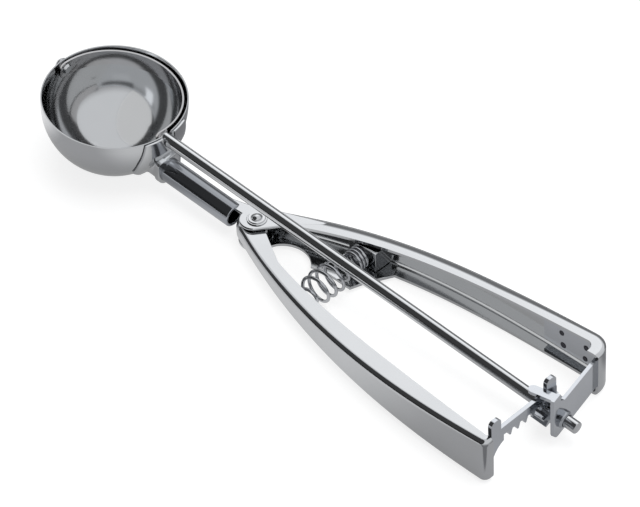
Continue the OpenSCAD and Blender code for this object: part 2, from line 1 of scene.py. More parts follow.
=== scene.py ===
"""Lever ice cream scoop in polished steel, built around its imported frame.

Sizes are worked out in millimetres in two frames, and angles in degrees. The table frame has its
origin under the middle of the bowl, with Z 0 on the table. The rod frame has its origin in the
middle of the bowl, with X along the sloping rod.
"""
import json
import math

import bmesh
import bpy
from mathutils import Matrix, Vector


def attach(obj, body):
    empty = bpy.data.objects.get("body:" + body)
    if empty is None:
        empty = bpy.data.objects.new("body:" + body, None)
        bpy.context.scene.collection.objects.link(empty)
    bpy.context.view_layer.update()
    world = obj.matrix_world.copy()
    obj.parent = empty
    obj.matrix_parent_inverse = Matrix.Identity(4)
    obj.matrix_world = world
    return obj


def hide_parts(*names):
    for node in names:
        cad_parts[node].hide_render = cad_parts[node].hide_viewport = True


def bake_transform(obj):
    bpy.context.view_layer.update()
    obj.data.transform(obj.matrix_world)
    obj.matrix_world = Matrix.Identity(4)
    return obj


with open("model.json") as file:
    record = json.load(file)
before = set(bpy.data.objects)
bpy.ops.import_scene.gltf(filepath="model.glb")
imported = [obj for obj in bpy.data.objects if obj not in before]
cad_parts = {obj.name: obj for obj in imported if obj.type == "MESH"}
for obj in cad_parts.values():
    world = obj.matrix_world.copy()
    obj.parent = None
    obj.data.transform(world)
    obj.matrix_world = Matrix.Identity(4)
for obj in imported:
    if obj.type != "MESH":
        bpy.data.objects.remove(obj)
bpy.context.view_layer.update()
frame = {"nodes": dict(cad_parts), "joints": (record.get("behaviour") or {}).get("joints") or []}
joints = {joint["name"]: joint for joint in frame["joints"]}


# ---------------------------------------------------------------- plane geometry
def cos_deg(angle):
    return math.cos(math.radians(angle))


def sin_deg(angle):
    return math.sin(math.radians(angle))


def on_circle(centre, radius, angle):
    return centre[0] + radius * cos_deg(angle), centre[1] + radius * sin_deg(angle)


def arc(centre, radius, first, last, steps):
    """Points of an arc in a plane, as (u, v)."""
    return [on_circle(centre, radius, first + (last - first) * k / steps)
            for k in range(steps + 1)]


def between(start, end, share):
    return start[0] + (end[0] - start[0]) * share, start[1] + (end[1] - start[1]) * share


def unit(x, y):
    length = math.hypot(x, y)
    return x / length, y / length


def heading(azimuth, elevation):
    """The direction of an azimuth and an elevation."""
    return Vector((cos_deg(azimuth) * cos_deg(elevation), sin_deg(azimuth) * cos_deg(elevation),
                   sin_deg(elevation)))


# ---------------------------------------------------------------- frames
MM = 0.001
PER_M = 1000
AXIS_X, AXIS_Z = (1, 0, 0), (0, 0, 1)
BOWL_R = 25.0
ROD_SLOPE = 4.7
HINGE = (65.0, 1.0)
hinge_at = joints["handle_squeeze"]["pos_m"]
TABLE = (Matrix.Translation((hinge_at[0] - HINGE[0] * MM, hinge_at[1] - HINGE[1] * MM, 0))
         @ Matrix.Scale(MM, 4))
ROD = (TABLE @ Matrix.Translation((0, 0, BOWL_R))
       @ Matrix.Rotation(math.radians(ROD_SLOPE), 4, "Y"))
HINGE_AXIS = TABLE @ Matrix.Translation((*HINGE, 0))
MIRROR_Y = Matrix.Scale(-1, 4, (0, 1, 0))


def add_object(name, data):
    thing = bpy.data.objects.new(name, data)
    bpy.context.scene.collection.objects.link(thing)
    return thing


# ---------------------------------------------------------------- camera
IMAGE_W, FOCAL_PX = 640, 5500.0
SENSOR_W = 36.0
CLIP_NEAR, CLIP_FAR = 0.1, 50.0
CAMERA_AZIMUTH, CAMERA_ELEVATION, CAMERA_AWAY = 43.38, 44.19, 1813.0
CAMERA_TILT = 2.0
AIM = Vector((100, 0, 12))
AIM_RIGHT, AIM_UP = 3.43, -6.19


def add_camera():
    """A long lens high over the moving handle, given in a frame tilted a little about the bowl."""
    right = Vector((cos_deg(CAMERA_AZIMUTH), sin_deg(CAMERA_AZIMUTH), 0))
    back = Vector((sin_deg(CAMERA_AZIMUTH) * cos_deg(CAMERA_ELEVATION),
                   -cos_deg(CAMERA_AZIMUTH) * cos_deg(CAMERA_ELEVATION),
                   sin_deg(CAMERA_ELEVATION)))
    up = back.cross(right)
    tilt = (Matrix.Translation((0, 0, BOWL_R)) @ Matrix.Rotation(math.radians(CAMERA_TILT), 4, "Y")
            @ Matrix.Translation((0, 0, -BOWL_R)))
    view = Matrix((right, up, back)).transposed().to_4x4()
    view.translation = AIM + back * CAMERA_AWAY - right * AIM_RIGHT - up * AIM_UP
    view = tilt @ view
    view.translation = TABLE @ view.translation
    data = bpy.data.cameras.new("camera")
    data.sensor_fit = "HORIZONTAL"
    data.sensor_width = SENSOR_W
    data.lens = SENSOR_W * FOCAL_PX / IMAGE_W
    data.clip_start, data.clip_end = CLIP_NEAR, CLIP_FAR
    camera = add_object("camera", data)
    camera.matrix_world = view
    bpy.context.scene.camera = camera


add_camera()


# ---------------------------------------------------------------- shader helpers
class Wire:
    """A shader value that can be added, multiplied and compared like a number."""

    def __init__(self, graph, socket):
        self.graph, self.socket = graph, socket

    def _math(self, operation, *values):
        return self.graph.node("ShaderNodeMath", {"operation": operation}, values)

    def __add__(self, other):
        return self._math("ADD", self, other)

    def __radd__(self, other):
        return self._math("ADD", other, self)

    def __sub__(self, other):
        return self._math("SUBTRACT", self, other)

    def __rsub__(self, other):
        return self._math("SUBTRACT", other, self)

    def __mul__(self, other):
        return self._math("MULTIPLY", self, other)

    def __truediv__(self, other):
        return self._math("DIVIDE", self, other)

    def at_least(self, other):
        return self._math("MAXIMUM", self, other)

    def power(self, other):
        return self._math("POWER", self, other)

    def ramp(self, low, high):
        """0 at low, 1 at high and a smooth rise between; low may be above high."""
        return self.graph.node("ShaderNodeMapRange", {"interpolation_type": "SMOOTHSTEP"},
                               {"Value": self, "From Min": low, "From Max": high}, "Result")


class Graph:
    """The node tree of a material or world."""

    def __init__(self, tree):
        self.tree = tree
        tree.nodes.clear()

    def node(self, kind, settings=None, inputs=(), output=0):
        """Adds a node: its settings first, then its sockets by name or by number."""
        node = self.tree.nodes.new(kind)
        for name, value in (settings or {}).items():
            setattr(node, name, value)
        pairs = inputs.items() if isinstance(inputs, dict) else enumerate(inputs)
        for key, value in pairs:
            socket = self.pick(node.inputs, key)
            if isinstance(value, Wire):
                self.tree.links.new(value.socket, socket)
            else:
                socket.default_value = value
        return Wire(self, self.pick(node.outputs, output)) if node.outputs else None

    @staticmethod
    def pick(sockets, key):
        if isinstance(key, int):
            return sockets[key]
        return next(socket for socket in sockets if socket.name == key and socket.enabled)

    def other(self, wire, output):
        """Another output of the node that a value comes from."""
        return Wire(self, self.pick(wire.socket.node.outputs, output))

    def mix(self, factor, first, second):
        return self.node("ShaderNodeMix", {"data_type": "RGBA"},
                         {"Factor": factor, "A": first, "B": second}, "Result")


def new_material(name):
    material = bpy.data.materials.new(name)
    material.use_nodes = True
    return material, Graph(material.node_tree)


# ---------------------------------------------------------------- steels
SMUDGE_DARK = 0.94
BUMP_HEIGHT = 0.0001
ALONG_X = (60, 2500, 2500)
ALL_WAYS = (900, 900, 900)


def steel(name, colour, roughness, grain, grain_depth=0.02, smudge=0.05):
    """Polished steel: fine polishing lines along one axis and faint smudges in the gloss."""
    material, graph = new_material(name)
    place = graph.node("ShaderNodeTexCoord", output="Object")
    lines_at = graph.node("ShaderNodeVectorMath", {"operation": "MULTIPLY"}, (place, grain))
    lines = graph.node("ShaderNodeTexNoise", {"noise_dimensions": "3D"},
                       {"Vector": lines_at, "Scale": 1.0, "Detail": 3.0, "Roughness": 0.6})
    smudges = graph.node("ShaderNodeTexNoise", {"noise_dimensions": "3D"},
                         {"Vector": place, "Scale": 70.0, "Detail": 2.0, "Roughness": 0.5})
    gloss = roughness + (smudges - 0.5) * smudge + (lines - 0.5) * smudge
    dark = tuple(channel * SMUDGE_DARK for channel in colour)
    tint = graph.mix(smudges, (*dark, 1), (*colour, 1))
    bump = graph.node("ShaderNodeBump", {}, {"Strength": grain_depth, "Distance": BUMP_HEIGHT,
                                             "Height": lines})
    shader = graph.node("ShaderNodeBsdfPrincipled", {}, {"Base Color": tint, "Metallic": 1.0,
                                                         "Roughness": gloss, "Normal": bump})
    graph.node("ShaderNodeOutputMaterial", {}, {"Surface": shader})
    return material


handle_steel = steel("handle_polish", (0.58, 0.59, 0.60), 0.09, ALONG_X)
bowl_steel = steel("bowl_polish", (0.58, 0.59, 0.60), 0.10, ALL_WAYS)
band_steel = steel("band_polish", (0.58, 0.575, 0.58), 0.10, ALL_WAYS)
rod_steel = steel("rod_polish", (0.62, 0.63, 0.64), 0.07, ALONG_X)
gear_steel = steel("stamped_steel", (0.56, 0.58, 0.61), 0.13, ALL_WAYS, 0.04, 0.08)
bush_steel = steel("turned_steel", (0.46, 0.48, 0.51), 0.17, ALL_WAYS, 0.04, 0.08)
wire_steel = steel("spring_wire", (0.47, 0.48, 0.50), 0.06, ALL_WAYS)
# The shank is the handles' polished steel in a darker colour: painted shade, standing in for the
# darker reflections along the tube
shank_steel_painted_shade = steel("shank_polish_painted_shade", (0.36, 0.375, 0.40), 0.12, ALONG_X)
rivet_steel = steel("rivet_polish", (0.60, 0.61, 0.62), 0.10, ALL_WAYS)
weld_steel = steel("weld_mark", (0.06, 0.06, 0.07), 0.3, ALL_WAYS, 0.2, 0.2)

# ---------------------------------------------------------------- modelling helpers
MERGE = 0.002
SHARP = 32
ROUND_STEPS = 64


def merge_close(bm):
    bmesh.ops.remove_doubles(bm, verts=bm.verts, dist=MERGE)


def face_outwards(bm):
    bmesh.ops.recalc_face_normals(bm, faces=bm.faces)


def make_mesh(name, bm):
    """Turns a bmesh into a mesh and frees it."""
    mesh = bpy.data.meshes.new(name)
    bm.to_mesh(mesh)
    bm.free()
    return mesh


def evaluated_mesh(thing):
    """The mesh that an object's modifiers or curve settings give."""
    bpy.context.view_layer.update()
    ready = thing.evaluated_get(bpy.context.evaluated_depsgraph_get())
    return bpy.data.meshes.new_from_object(ready)


def shade(mesh, sharp=SHARP):
    mesh.shade_smooth()
    mesh.set_sharp_from_angle(angle=math.radians(sharp))


def even_shading(thing):
    """Keeps a large flat face evenly shaded right up to its rounded edges."""
    modifier = thing.modifiers.new("even_shading", "WEIGHTED_NORMAL")
    modifier.keep_sharp = True


def dress(name, mesh, body, material, nodes, sharp=SHARP):
    """Makes a mesh in metres into a finished object. One without a body is left unattached."""
    shade(mesh, sharp)
    mesh.materials.clear()
    mesh.materials.append(material)
    thing = add_object(name, mesh)
    if body:
        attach(thing, body)
        even_shading(thing)
    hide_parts(*nodes)
    return thing


def piece(name, bm, place, body, material, nodes, sharp=SHARP):
    """Turns a bmesh in millimetres into a finished object that rides on a body."""
    merge_close(bm)
    face_outwards(bm)
    bm.transform(place)
    return dress(name, make_mesh(name, bm), body, material, nodes, sharp)


def path_edges(bm, points):
    verts = [bm.verts.new(point) for point in points]
    return verts, [bm.edges.new(pair) for pair in zip(verts, verts[1:])]


def upright(points):
    """A profile (radius, height) as points to be turned about Z."""
    return [(radius, 0, height) for radius, height in points]


def lying(points):
    """A profile (radius, along) as points to be turned about X."""
    return [(along, 0, radius) for radius, along in points]


def turned(points, steps, axis=AXIS_Z, angle=360):
    """The surface that a profile leaves when it is turned about an axis through the origin."""
    bm = bmesh.new()
    verts, edges = path_edges(bm, points)
    bmesh.ops.spin(bm, geom=verts + edges, cent=(0, 0, 0), axis=axis, angle=math.radians(angle),
                   steps=steps, use_merge=angle == 360)
    return bm


def pulled(bm, face):
    """Extrudes a face and gives the corners of the new one."""
    made = bmesh.ops.extrude_face_region(bm, geom=[face])["geom"]
    return {item for item in made if isinstance(item, bmesh.types.BMVert)}


def loft(rows):
    """An open sheet pulled from one row of points to the next."""
    bm = bmesh.new()
    verts, edges = path_edges(bm, rows[0])
    for row in rows[1:]:
        made = bmesh.ops.extrude_edge_only(bm, edges=edges)["geom"]
        fresh = {item for item in made if isinstance(item, bmesh.types.BMVert)}
        verts = [next(edge.other_vert(vert) for edge in vert.link_edges
                      if edge.other_vert(vert) in fresh) for vert in verts]
        edges = [edge for edge in made if isinstance(edge, bmesh.types.BMEdge)
                 and all(vert in fresh for vert in edge.verts)]
        for vert, point in zip(verts, row):
            vert.co = point
    merge_close(bm)
    face_outwards(bm)
    return bm


def round_edges(bm, width, segments=2, angle=50):
    """Bevels the edges that bend by more than angle."""
    edges = [edge for edge in bm.edges
             if len(edge.link_faces) == 2 and edge.calc_face_angle() > math.radians(angle)]
    bmesh.ops.bevel(bm, geom=edges, offset=width, offset_type="OFFSET", segments=segments,
                    profile=0.5, affect="EDGES", clamp_overlap=True, material=-1)


# ---------------------------------------------------------------- handles
SHEET = 1.1
SHEET_EDGE, SHEET_EDGE_STEPS = 0.45, 3
REAR_X, REAR_TOP, REAR_R = 198.2, 18.0, 2.6
BEND_X, BEND_BLEND = 74.0, 4.0
EDGE_BEND, EDGE_STEPS, SHOULDER_STEPS = 2.4, 6, 10
SWELL_SKEW = 1.3
SIDE_CHECK = (150, 9)


class Handle:
    """The side of one handle, as reach and height along the table.

    The flange is given by its front and rear width and its swelling between them. The shoulder is
    given by its width at two places along the handle and its depth as a share of that width.
    """

    def __init__(self, front, rear, fullness, corner, flange, lip, top, bottom, shoulder):
        self.front, self.rear, self.fullness, self.corner = front, rear, fullness, corner
        self.flange, self.lip, self.top, self.bottom = flange, lip, top, bottom
        self.shoulder, self.corner_x = shoulder, REAR_X - corner

    def along(self, x):
        return (x - HINGE[0]) / (REAR_X - HINGE[0])

    def reach(self, x):
        left = max(0, 1 - self.along(x))
        return self.front + (self.rear - self.front) * (1 - left ** self.fullness)

    def slope(self, x):
        return ((self.rear - self.front) * self.fullness / (REAR_X - HINGE[0])
                * max(0, 1 - self.along(x)) ** (self.fullness - 1))

    def inset(self, x, depth):
        """The point depth inside the outer face at x."""
        slope = self.slope(x)
        length = math.hypot(1, slope)
        return x + depth * slope / length, self.reach(x) - depth / length

    def flange_width(self, x):
        front, rear, swell = self.flange
        share = max(0, self.along(x))
        return front + (rear - front) * share + swell * sin_deg(180 * share ** SWELL_SKEW)

    def rise(self, x):
        """0 up to the bend and 1 at the rear end, with a smooth turn between."""
        past = ((x - BEND_X) + math.hypot(x - BEND_X, BEND_BLEND)) / 2
        return min(1, past / (REAR_X - REAR_R - BEND_X))

    def shoulder_at(self, x):
        """The turn from wall to top flange, as steps in from the wall and down from the flange."""
        low_x, low, high_x, high, depth = self.shoulder
        run = low + (high - low) * min(1, max(0, (x - low_x) / (high_x - low_x)))
        turns = [90 * k / SHOULDER_STEPS for k in range(SHOULDER_STEPS + 1)]
        return [(run * (1 - cos_deg(turn)), run * depth * (1 - sin_deg(turn))) for turn in turns]

    def top_at(self, x):
        return self.top + (REAR_TOP - self.top) * self.rise(x)

    def bottom_at(self, x):
        return self.bottom * (1 - self.rise(x))


fixed = Handle(front=8.9, rear=30.0, fullness=3.2, corner=8.0, flange=(7.0, 4.6, 0.3), lip=8.8,
               top=10.5, bottom=1.4, shoulder=(150, 4.4, 190, 2.4, 0.42))
moving = Handle(front=6.5916, rear=33.0, fullness=2.3, corner=2.8, flange=(4.6, 3.4, 3.6), lip=4.0,
                top=9.1, bottom=2.8, shoulder=(68, 1.8, 100, 2.0, 1.0))

FIXED_START, FIXED_STEPS, MOVING_STEPS, CORNER_STEPS = HINGE[0] - 8, 64, 60, 12
# Nose of the moving handle: its wall and its ear start in one direction and part from there
NOSE_R, EAR_R, NOSE_STEPS = 7.0, 5.2, 14
NOSE_FROM, NOSE_TURN, EAR_TURN, NOSE_BEND = 195, 82, 130, 2
# Behind the nose, the flange's edge follows the ear for a few stations, then runs straight
EAR_BACK, EAR_END, ON_EAR, JOINED = 335, 15, 3, 8


def side_stations(handle, start, count):
    """Outer point, inward direction, flange edge and bend at places along a handle's side."""
    stations = []
    for k in range(count + 1):
        x = start + (handle.corner_x - start) * k / count
        outer, inner = handle.inset(x, 0), handle.inset(x, handle.flange_width(x))
        stations.append((outer, unit(inner[0] - outer[0], inner[1] - outer[1]), inner, EDGE_BEND))
    return stations


def rear_stations(handle, inner):
    """The same round a handle's rear corner and to the end of its lip."""
    stations = []
    reach = handle.reach(handle.corner_x)
    centre = (handle.corner_x, reach - handle.corner)
    turn = max(0, handle.corner - handle.flange_width(handle.corner_x))
    for k in range(1, CORNER_STEPS + 1):
        angle = 90 - 90 * k / CORNER_STEPS
        if turn:
            inner = on_circle(centre, turn, angle)
        stations.append((on_circle(centre, handle.corner, angle),
                         (-cos_deg(angle), -sin_deg(angle)), inner, EDGE_BEND))
    lip_end = reach - handle.lip
    stations.append(((REAR_X, lip_end), (-1, 0), (inner[0], min(inner[1], lip_end)), EDGE_BEND))
    return stations


def fixed_stations():
    side = side_stations(fixed, FIXED_START, FIXED_STEPS)
    return side + rear_stations(fixed, side[-1][2])


def moving_stations():
    """The moving handle with its nose round the hinge, mirrored so that its side runs along +Y."""
    centre = (HINGE[0], -HINGE[1])
    stations = []
    for k in range(NOSE_STEPS + 1):
        share = k / NOSE_STEPS
        angle, ear = NOSE_FROM - NOSE_TURN * share, NOSE_FROM + EAR_TURN * share
        stations.append((on_circle(centre, NOSE_R, angle), (-cos_deg(angle), -sin_deg(angle)),
                         on_circle(centre, EAR_R, ear),
                         min(EDGE_BEND, NOSE_R - EAR_R + NOSE_BEND * share)))
    side = side_stations(moving, HINGE[0], MOVING_STEPS)
    ear_end, target = on_circle(centre, EAR_R, EAR_END), side[JOINED][2]
    last = ON_EAR - 1
    for k in range(JOINED):
        outer, inward, _, bend = side[k]
        if k <= last:
            inner = on_circle(centre, EAR_R, EAR_BACK + (360 + EAR_END - EAR_BACK) * k / last)
        else:
            inner = between(ear_end, target, (k - last) / (JOINED - last))
        side[k] = (outer, inward, inner, bend)
    return stations + side + rear_stations(moving, side[-1][2])


def channel(handle, stations):
    """An open folded sheet: a wall along the outer points and flanges to the inner points."""
    rows = []
    for (x, y), (u, v), (inner_x, inner_y), bend in stations:
        row = [(inner_x, inner_y, handle.bottom_at(inner_x))]
        for k in range(EDGE_STEPS + 1):
            angle = 90 * k / EDGE_STEPS
            step = bend * (1 - sin_deg(angle))
            row.append((x + u * step, y + v * step,
                        handle.bottom_at(x + u * step) + bend * (1 - cos_deg(angle))))
        for step, drop in handle.shoulder_at(x):
            row.append((x + u * step, y + v * step, handle.top_at(x + u * step) - drop))
        row.append((inner_x, inner_y, handle.top_at(inner_x)))
        rows.append(row)
    return loft(rows)


def folded(handle, stations):
    """A folded handle with its wall's full thickness inside the outer face, and eased edges."""
    bm = channel(handle, stations)
    x, z = SIDE_CHECK
    on_side = Vector((x, handle.reach(x), z))
    nearest = min(bm.faces, key=lambda face: (face.calc_center_median() - on_side).length)
    if nearest.normal.y < 0:
        bmesh.ops.reverse_faces(bm, faces=bm.faces)
    bmesh.ops.solidify(bm, geom=bm.faces[:], thickness=SHEET)
    round_edges(bm, SHEET_EDGE, SHEET_EDGE_STEPS)
    return bm


def plate(points, height):
    """A flat piece of sheet with the outline points, its top at a height that follows x."""
    bm = bmesh.new()
    upper = pulled(bm, bm.faces.new([bm.verts.new((x, y, 0)) for x, y in points]))
    for vert in bm.verts:
        vert.co.z = height(vert.co.x) - (0 if vert in upper else SHEET)
    return bm


moving_sheet = piece("moving_handle_sheet", folded(moving, moving_stations()), TABLE @ MIRROR_Y,
                     "moving_handle", handle_steel, ["moving_handle"])
fixed_sheet = piece("fixed_handle_sheet", folded(fixed, fixed_stations()), TABLE,
                    "frame", handle_steel, ["fixed_handle"])

# Tang and shelf at the hinge, each a little proud of the folded sheet that it joins
TANG_PROUD, SHELF_PROUD = 0.03, 0.04
TANG_EDGE, TANG_EDGE_STEPS, SHELF_EDGE = 0.9, 5, 0.2
TANG = (arc((64.2, 0.7), 5.4, 200, 310, 18)
        + [(75.5, 6.6), (84, 13), (84, 15), (65, 8.0), (57.5, 4.6), (51, 3), (51, -0.4),
           (59.0, -0.4)])
bm = plate(TANG, lambda x: fixed.top_at(x) + TANG_PROUD)
round_edges(bm, TANG_EDGE, TANG_EDGE_STEPS)
piece("tang_plate", bm, TABLE, "frame", handle_steel, ["fixed_handle"])

SHELF = (arc((65, 1), 6.5, 160, 290, 16) + [(70, -2)] + arc((80, -3.3), 9.8, 150, 30, 20)[1:-1]
         + [(92, 3.9), (104.6, 3.6), (106.4, 8.6), (109.2, 14), (112, 19), (100, 20), (80, 14),
            (65, 7.9), (59.5, 4.8)])
bm = plate(SHELF, lambda x: fixed.bottom_at(x) + SHEET + SHELF_PROUD)
round_edges(bm, SHELF_EDGE)
piece("shelf_plate", bm, TABLE, "frame", handle_steel, ["fixed_handle"])

# The tubular shank, with a rounded open end
SHANK_R, SHANK_DROP, SHANK_START, SHANK_END = 4.25, 13.4, 24.4, 57.0
SHANK_STEPS = 96
lip = arc((SHANK_R - SHEET / 2, SHANK_END - SHEET / 2), SHEET / 2, 0, 180, 6)
bm = turned(lying([(SHANK_R, SHANK_START)] + lip + [(SHANK_R - SHEET, SHANK_START)]), SHANK_STEPS,
            AXIS_X)
# Its steel is darkened with painted shade
shank = piece("shank_tube", bm, ROD @ Matrix.Translation((0, 0, -SHANK_DROP)), "frame",
              shank_steel_painted_shade, ["fixed_handle"])

# ---------------------------------------------------------------- bowl
BOWL_T, RIM_T, RIM_H, RIM_TAPER = 0.9, 0.5, 2.7, 1.6
BOWL_STEPS, BOWL_ARC_STEPS, RIM_STEPS = 160, 40, 8
bowl_in = BOWL_R - BOWL_T
profile = (arc((0, 0), BOWL_R, -90, 0, BOWL_ARC_STEPS)
           + arc((BOWL_R - RIM_T / 2, RIM_H - RIM_T / 2), RIM_T / 2, 0, 180, RIM_STEPS)
           + [(bowl_in, RIM_H - RIM_TAPER)] + arc((0, 0), bowl_in, 0, -90, BOWL_ARC_STEPS))
bowl = piece("bowl_shell", turned(upright(profile), BOWL_STEPS), ROD, "frame", bowl_steel,
             ["bowl"])


# ---------------------------------------------------------------- cuts
ROD_R, RIVET_R, PIVOT_R = 2.15, 2.4, 1.2
RIVET_PLAY, PIVOT_PLAY, BOWL_SLOT_PLAY, SADDLE_SLOT_PLAY = 0.08, 0.1, 0.06, 0.6
SLOT_START, SLOT_END, SLOT_TOP, SLOT_STEPS, DRILL_STEPS = 15, 40, 10, 16, 48
RIVET_HOLE = (2.0, 9.9)
PIVOT_HOLE = (-26, -20)


def cut(thing, bm, place):
    """Cuts a finished object with a bmesh in millimetres and keeps the result in its mesh."""
    face_outwards(bm)
    bm.transform(place)
    tool = add_object("cutter", make_mesh("cutter", bm))
    thing.modifiers.clear()
    modifier = thing.modifiers.new("cut", "BOOLEAN")
    modifier.operation, modifier.object, modifier.solver = "DIFFERENCE", tool, "EXACT"
    result = evaluated_mesh(thing)
    thing.modifiers.clear()
    thing.data = result
    bpy.data.objects.remove(tool)
    shade(result)
    even_shading(thing)


def slot_cutter(radius):
    """The rod's slot: a round bottom with straight sides going up."""
    bm = bmesh.new()
    outline = (arc((0, 0), radius, 180, 360, SLOT_STEPS)
               + [(radius, SLOT_TOP), (-radius, SLOT_TOP)])
    for vert in pulled(bm, bm.faces.new([bm.verts.new((SLOT_START, u, v)) for u, v in outline])):
        vert.co.x = SLOT_END
    return bm


def drill(radius, start, end, axis):
    """A round cutter along an axis through the origin."""
    along, across = Vector(axis), Vector(axis).orthogonal() * radius
    bm = turned([along * start, along * start + across, along * end + across, along * end],
                DRILL_STEPS, axis)
    merge_close(bm)
    return bm


cut(moving_sheet, drill(RIVET_R + RIVET_PLAY, *RIVET_HOLE, AXIS_Z), HINGE_AXIS)
cut(bowl, slot_cutter(ROD_R + BOWL_SLOT_PLAY), ROD)


# ---------------------------------------------------------------- saddle
NECK_W, NECK_END, COLLAR_W, COLLAR_T = 9.6, 26.3, 10.8, 1.9
NECK_SQUARE, NECK_ROUND = 9, 2
SADDLE_R = BOWL_R + 1.0
WINGS = [(-9.2, 15.8), (-10.8, 6.4), (-10.8, 0.9), (-5, -5.2), (5, -5.2), (10.8, 0.9), (10.8, 6.4),
         (9.8, 15.8)]
# The saddle's edge stands off the bowl by GROOVE_H over GROOVE_W, and its corner is eased
GROOVE_W, GROOVE_H, EASE = 0.7, 0.4, 0.3
# The fillet round the neck: its run, and the room left before the saddle's edge and the collar
ROOT_RUN, ROOT_SHARE, ROOT_LEAST, ROOT_TRIES = 3.4, 0.8, 0.1, 6
WING_LEAST, WING_ROOM, COLLAR_ROOM = 0.6, 0.4, 0.15
NECK_INSIDE_X = 21.6
FIRST_ROW, ROW_STEP = 0.5, 3


def neck_reach(angle, width):
    """Section of the neck about its axis: square shoulders over a round underside."""
    power = NECK_SQUARE if sin_deg(angle) > 0 else NECK_ROUND
    across, up = abs(cos_deg(angle)), abs(sin_deg(angle))
    return width / 2 / (across ** power + up ** power) ** (1 / power)


def wing_reach(angle):
    """Distance from the neck's axis to the saddle's outline."""
    c, s = cos_deg(angle), sin_deg(angle)
    found = []
    for (y0, z0), (y1, z1) in zip(WINGS, WINGS[1:] + WINGS[:1]):
        side0, side1 = z0 * c - y0 * s, z1 * c - y1 * s
        if (side0 <= 0) != (side1 <= 0):
            share = side0 / (side0 - side1)
            ahead = (y0 + (y1 - y0) * share) * c + (z0 + (z1 - z0) * share) * s
            if ahead > 0:
                found.append(ahead)
    return max(found)


def saddle_row(angle):
    """The saddle's wall along one direction from the neck's axis, out and back again."""
    c, s = cos_deg(angle), sin_deg(angle)

    def at(x, reach):
        return x, reach * c, reach * s - SHANK_DROP

    def over(reach, radius):
        """The point over the bowl, on a sphere that turns into a cylinder above its middle."""
        _, y, z = at(0, reach)
        return math.sqrt(radius ** 2 - y ** 2 - min(z, 0) ** 2), y, z

    neck, collar = neck_reach(angle, NECK_W), neck_reach(angle, COLLAR_W)
    collar_x = NECK_END - COLLAR_T
    edge = max(wing_reach(angle), neck + WING_LEAST)
    root = min(neck + ROOT_RUN, edge - WING_ROOM)
    # Brings the root in where the fillet would not fit before the collar
    for _ in range(ROOT_TRIES):
        room = collar_x - over(root, SADDLE_R)[0] - COLLAR_ROOM
        if root - neck > room:
            root = max(neck + ROOT_LEAST, neck + max(ROOT_LEAST, room) * ROOT_SHARE)
    start = over(root, SADDLE_R)[0]
    inside = edge - GROOVE_W
    row = [over(inside, BOWL_R - 0.2), over(inside, BOWL_R + 0.35), over(edge, BOWL_R + GROOVE_H),
           over(edge, SADDLE_R - 0.2), over(edge - 0.08, SADDLE_R - 0.06),
           over(edge - EASE, SADDLE_R)]
    row += [over(edge - EASE + (root - edge + EASE) * k / 6, SADDLE_R) for k in range(1, 7)]
    run = min(root - neck, collar_x - start - 0.05)
    row += [at(start + run * (1 - cos_deg(15 * k)), root - (root - neck) * sin_deg(15 * k))
            for k in range(1, 7)]
    row += [at(collar_x, neck), at(collar_x, collar - 0.2), at(collar_x + 0.08, collar - 0.05),
            at(collar_x + 0.2, collar), at(NECK_END - 0.2, collar),
            at(NECK_END - 0.06, collar - 0.06), at(NECK_END, collar - 0.2),
            at(NECK_END, SHANK_R + 0.05), at(NECK_INSIDE_X, SHANK_R - 0.1)]
    back = [over(SHANK_R + (inside - SHANK_R) * k / 5, BOWL_R - 0.4) for k in range(6)]
    return row + back + row[:1]


# A row every ROW_STEP degrees, the last one in the place of the first
rows = [saddle_row(FIRST_ROW + ROW_STEP * k) for k in range(360 // ROW_STEP + 1)]
saddle = piece("saddle_formed", loft(rows), ROD, "frame", bowl_steel, ["saddle"],
               sharp=40)
cut(saddle, slot_cutter(ROD_R + SADDLE_SLOT_PLAY), ROD)


# ---------------------------------------------------------------- copies of the solids
FLAT_ANGLE, COPY_ANGLE = 1.0, 30


def smooth_copy(node, body, material, width):
    """The CAD solid with its flat faces joined and its edges rounded."""
    bm = bmesh.new()
    bm.from_mesh(frame["nodes"][node].data)
    bmesh.ops.remove_doubles(bm, verts=bm.verts, dist=MERGE * MM)
    bmesh.ops.dissolve_limit(bm, angle_limit=math.radians(FLAT_ANGLE), verts=bm.verts,
                             edges=bm.edges)
    if width:
        round_edges(bm, width * MM, angle=COPY_ANGLE)
    dress(node + "_finished", make_mesh(node, bm), body, material, [node])


smooth_copy("rack", "moving_handle", gear_steel, 0.15)
smooth_copy("pinion_bracket", "frame", gear_steel, 0.2)
smooth_copy("pinion", "rod", gear_steel, 0.1)
smooth_copy("fixed_spring_seat", "frame", handle_steel, 0.15)
smooth_copy("moving_spring_seat", "moving_handle", handle_steel, 0.15)
smooth_copy("hinge_sleeve", "frame", rivet_steel, 0)
smooth_copy("scraper_pivot", "frame", rivet_steel, 0)
smooth_copy("pivot_spacer", "frame", rivet_steel, 0)

# Spot welds that hold the bracket's foot to the inside of the handle, as (x, z, size)
WELDS = ((176.9, 10.6, 1.0), (177.6, 5.6, 1.15), (187.4, 10.4, 1.0), (187.0, 5.4, 0.95))
WELD_Y, WELD_STEPS = 27.48, 28
WELD_PROFILE = ((0, 0.04), (0.3, 0.05), (0.55, 0.13), (0.75, 0.16), (0.95, 0.1), (1.15, -0.15))
bm = bmesh.new()
for x, z, size in WELDS:
    mark = turned(upright([(size * share, height) for share, height in WELD_PROFILE]),
                  WELD_STEPS)
    mark.transform(Matrix.Translation((x, WELD_Y, z)) @ Matrix.Rotation(math.radians(90), 4, "X"))
    mesh = make_mesh("mark", mark)
    bm.from_mesh(mesh)
    bpy.data.meshes.remove(mesh)
piece("weld_marks", bm, TABLE, "frame", weld_steel, ["pinion_bracket"])

